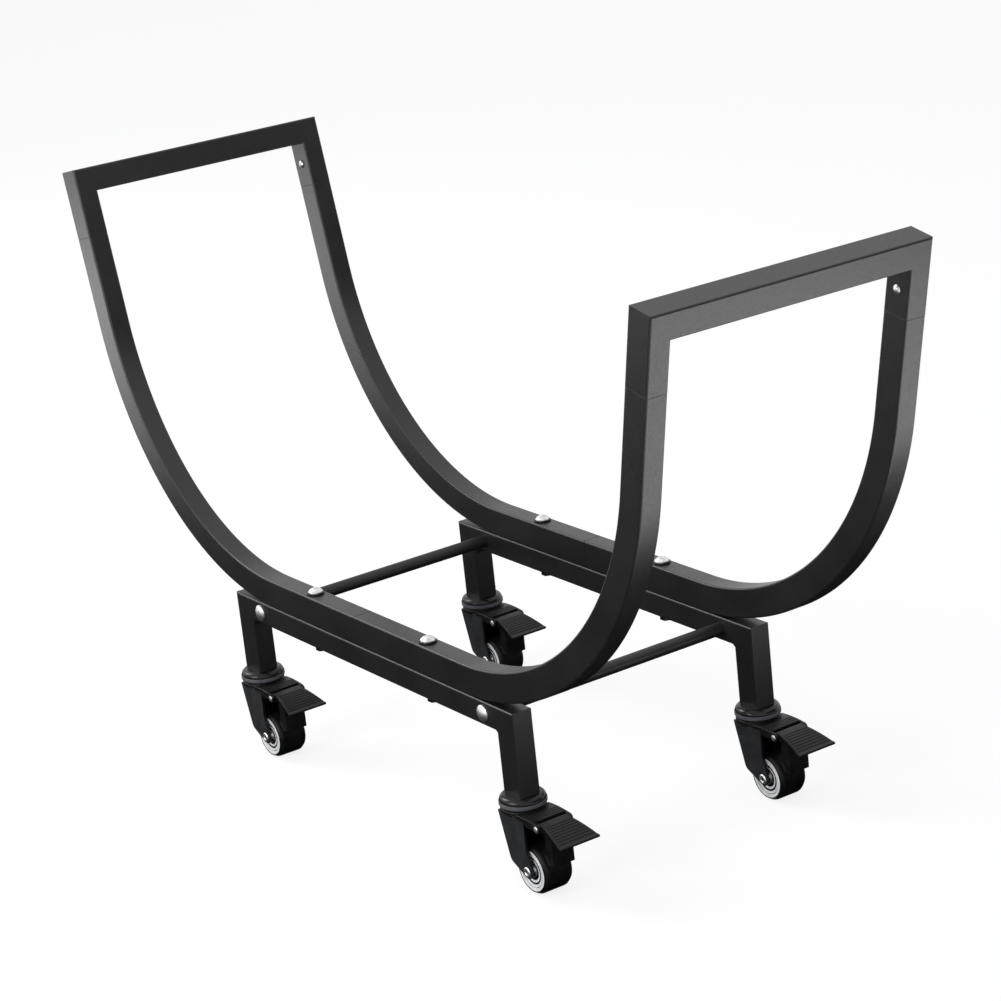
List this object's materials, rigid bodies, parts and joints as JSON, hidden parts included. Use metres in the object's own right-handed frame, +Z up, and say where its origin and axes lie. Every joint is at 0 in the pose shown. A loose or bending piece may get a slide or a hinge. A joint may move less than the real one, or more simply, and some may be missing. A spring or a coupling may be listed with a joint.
{
  "type": "firewood rack",
  "caption": "Rolling firewood rack: paired bent tube hoops with tube top frames, bolted on a low base with swivel casters and brake pedals.",
  "frame": {"origin": "on the floor under the middle of the rack", "axes": "+X along the base rails, towards the wheels' trailing side; +Y from the front hoop to the rear hoop; +Z up"},
  "size_m": [1.1122, 0.35, 0.6385],
  "materials": {
    "powder_coated_steel": "satin black powder coat",
    "zinc_plated_steel": "bright zinc plating",
    "black_plastic": "fine moulded texture",
    "black_tread": "matte",
    "pale_hub_plastic": "moulded, slightly glossy"
  },
  "bodies": {
    "rack": {"front_rail": "powder_coated_steel", "rear_rail": "powder_coated_steel", "leg_front_left": "powder_coated_steel", "leg_front_right": "powder_coated_steel", "leg_rear_left": "powder_coated_steel", "leg_rear_right": "powder_coated_steel", "cross_rod_left": "powder_coated_steel", "cross_rod_right": "powder_coated_steel", "rod_bolts": "zinc_plated_steel", "arm_front_left": "powder_coated_steel", "arm_front_right": "powder_coated_steel", "arm_rear_left": "powder_coated_steel", "arm_rear_right": "powder_coated_steel", "hoop_splices": "powder_coated_steel", "arm_spigots": "powder_coated_steel", "hoop_bolts": "zinc_plated_steel", "hoop_washers": "black_plastic", "hoop_nuts": "zinc_plated_steel", "top_bar_left": "powder_coated_steel", "top_bar_right": "powder_coated_steel", "post_front_left": "powder_coated_steel", "post_front_right": "powder_coated_steel", "post_rear_left": "powder_coated_steel", "post_rear_right": "powder_coated_steel", "top_screws": "zinc_plated_steel", "caster_collars": "black_plastic", "king_pins": "zinc_plated_steel", "swivel_washers": "black_plastic"},
    "swivel_front_left": {"fork_front_left": "black_plastic", "axle_front_left": "zinc_plated_steel", "pedal_pin_front_left": "zinc_plated_steel"},
    "wheel_front_left": {"hub_front_left": "pale_hub_plastic", "tyre_front_left": "black_tread", "bearings_front_left": "zinc_plated_steel"},
    "brake_front_left": {"pedal_front_left": "black_plastic", "brake_shoe_front_left": "black_tread"},
    "swivel_front_right": {"fork_front_right": "black_plastic", "axle_front_right": "zinc_plated_steel", "pedal_pin_front_right": "zinc_plated_steel"},
    "wheel_front_right": {"hub_front_right": "pale_hub_plastic", "tyre_front_right": "black_tread", "bearings_front_right": "zinc_plated_steel"},
    "brake_front_right": {"pedal_front_right": "black_plastic", "brake_shoe_front_right": "black_tread"},
    "swivel_rear_left": {"fork_rear_left": "black_plastic", "axle_rear_left": "zinc_plated_steel", "pedal_pin_rear_left": "zinc_plated_steel"},
    "wheel_rear_left": {"hub_rear_left": "pale_hub_plastic", "tyre_rear_left": "black_tread", "bearings_rear_left": "zinc_plated_steel"},
    "brake_rear_left": {"pedal_rear_left": "black_plastic", "brake_shoe_rear_left": "black_tread"},
    "swivel_rear_right": {"fork_rear_right": "black_plastic", "axle_rear_right": "zinc_plated_steel", "pedal_pin_rear_right": "zinc_plated_steel"},
    "wheel_rear_right": {"hub_rear_right": "pale_hub_plastic", "tyre_rear_right": "black_tread", "bearings_rear_right": "zinc_plated_steel"},
    "brake_rear_right": {"pedal_rear_right": "black_plastic", "brake_shoe_rear_right": "black_tread"}
  },
  "joints": [
    {"name": "swivel_front_left", "type": "hinge", "parent": "rack", "child": "swivel_front_left", "pos_m": [-0.255, -0.1505, 0.081], "axis": [0, 0, 1], "continuous": true},
    {"name": "wheel_front_left", "type": "hinge", "parent": "swivel_front_left", "child": "wheel_front_left", "pos_m": [-0.228, -0.1505, 0.025], "axis": [0, 1, 0], "continuous": true},
    {"name": "brake_front_left", "type": "hinge", "parent": "swivel_front_left", "child": "brake_front_left", "pos_m": [-0.205, -0.1505, 0.07786], "axis": [0, 1, 0], "range_deg": [0, 6]},
    {"name": "swivel_front_right", "type": "hinge", "parent": "rack", "child": "swivel_front_right", "pos_m": [0.255, -0.1505, 0.081], "axis": [0, 0, 1], "continuous": true},
    {"name": "wheel_front_right", "type": "hinge", "parent": "swivel_front_right", "child": "wheel_front_right", "pos_m": [0.282, -0.1505, 0.025], "axis": [0, 1, 0], "continuous": true},
    {"name": "brake_front_right", "type": "hinge", "parent": "swivel_front_right", "child": "brake_front_right", "pos_m": [0.305, -0.1505, 0.07786], "axis": [0, 1, 0], "range_deg": [0, 6]},
    {"name": "swivel_rear_left", "type": "hinge", "parent": "rack", "child": "swivel_rear_left", "pos_m": [-0.255, 0.1505, 0.081], "axis": [0, 0, 1], "continuous": true},
    {"name": "wheel_rear_left", "type": "hinge", "parent": "swivel_rear_left", "child": "wheel_rear_left", "pos_m": [-0.228, 0.1505, 0.025], "axis": [0, 1, 0], "continuous": true},
    {"name": "brake_rear_left", "type": "hinge", "parent": "swivel_rear_left", "child": "brake_rear_left", "pos_m": [-0.205, 0.1505, 0.07786], "axis": [0, 1, 0], "range_deg": [0, 6]},
    {"name": "swivel_rear_right", "type": "hinge", "parent": "rack", "child": "swivel_rear_right", "pos_m": [0.255, 0.1505, 0.081], "axis": [0, 0, 1], "continuous": true},
    {"name": "wheel_rear_right", "type": "hinge", "parent": "swivel_rear_right", "child": "wheel_rear_right", "pos_m": [0.282, 0.1505, 0.025], "axis": [0, 1, 0], "continuous": true},
    {"name": "brake_rear_right", "type": "hinge", "parent": "swivel_rear_right", "child": "brake_rear_right", "pos_m": [0.305, 0.1505, 0.07786], "axis": [0, 1, 0], "range_deg": [0, 6]}
  ]
}
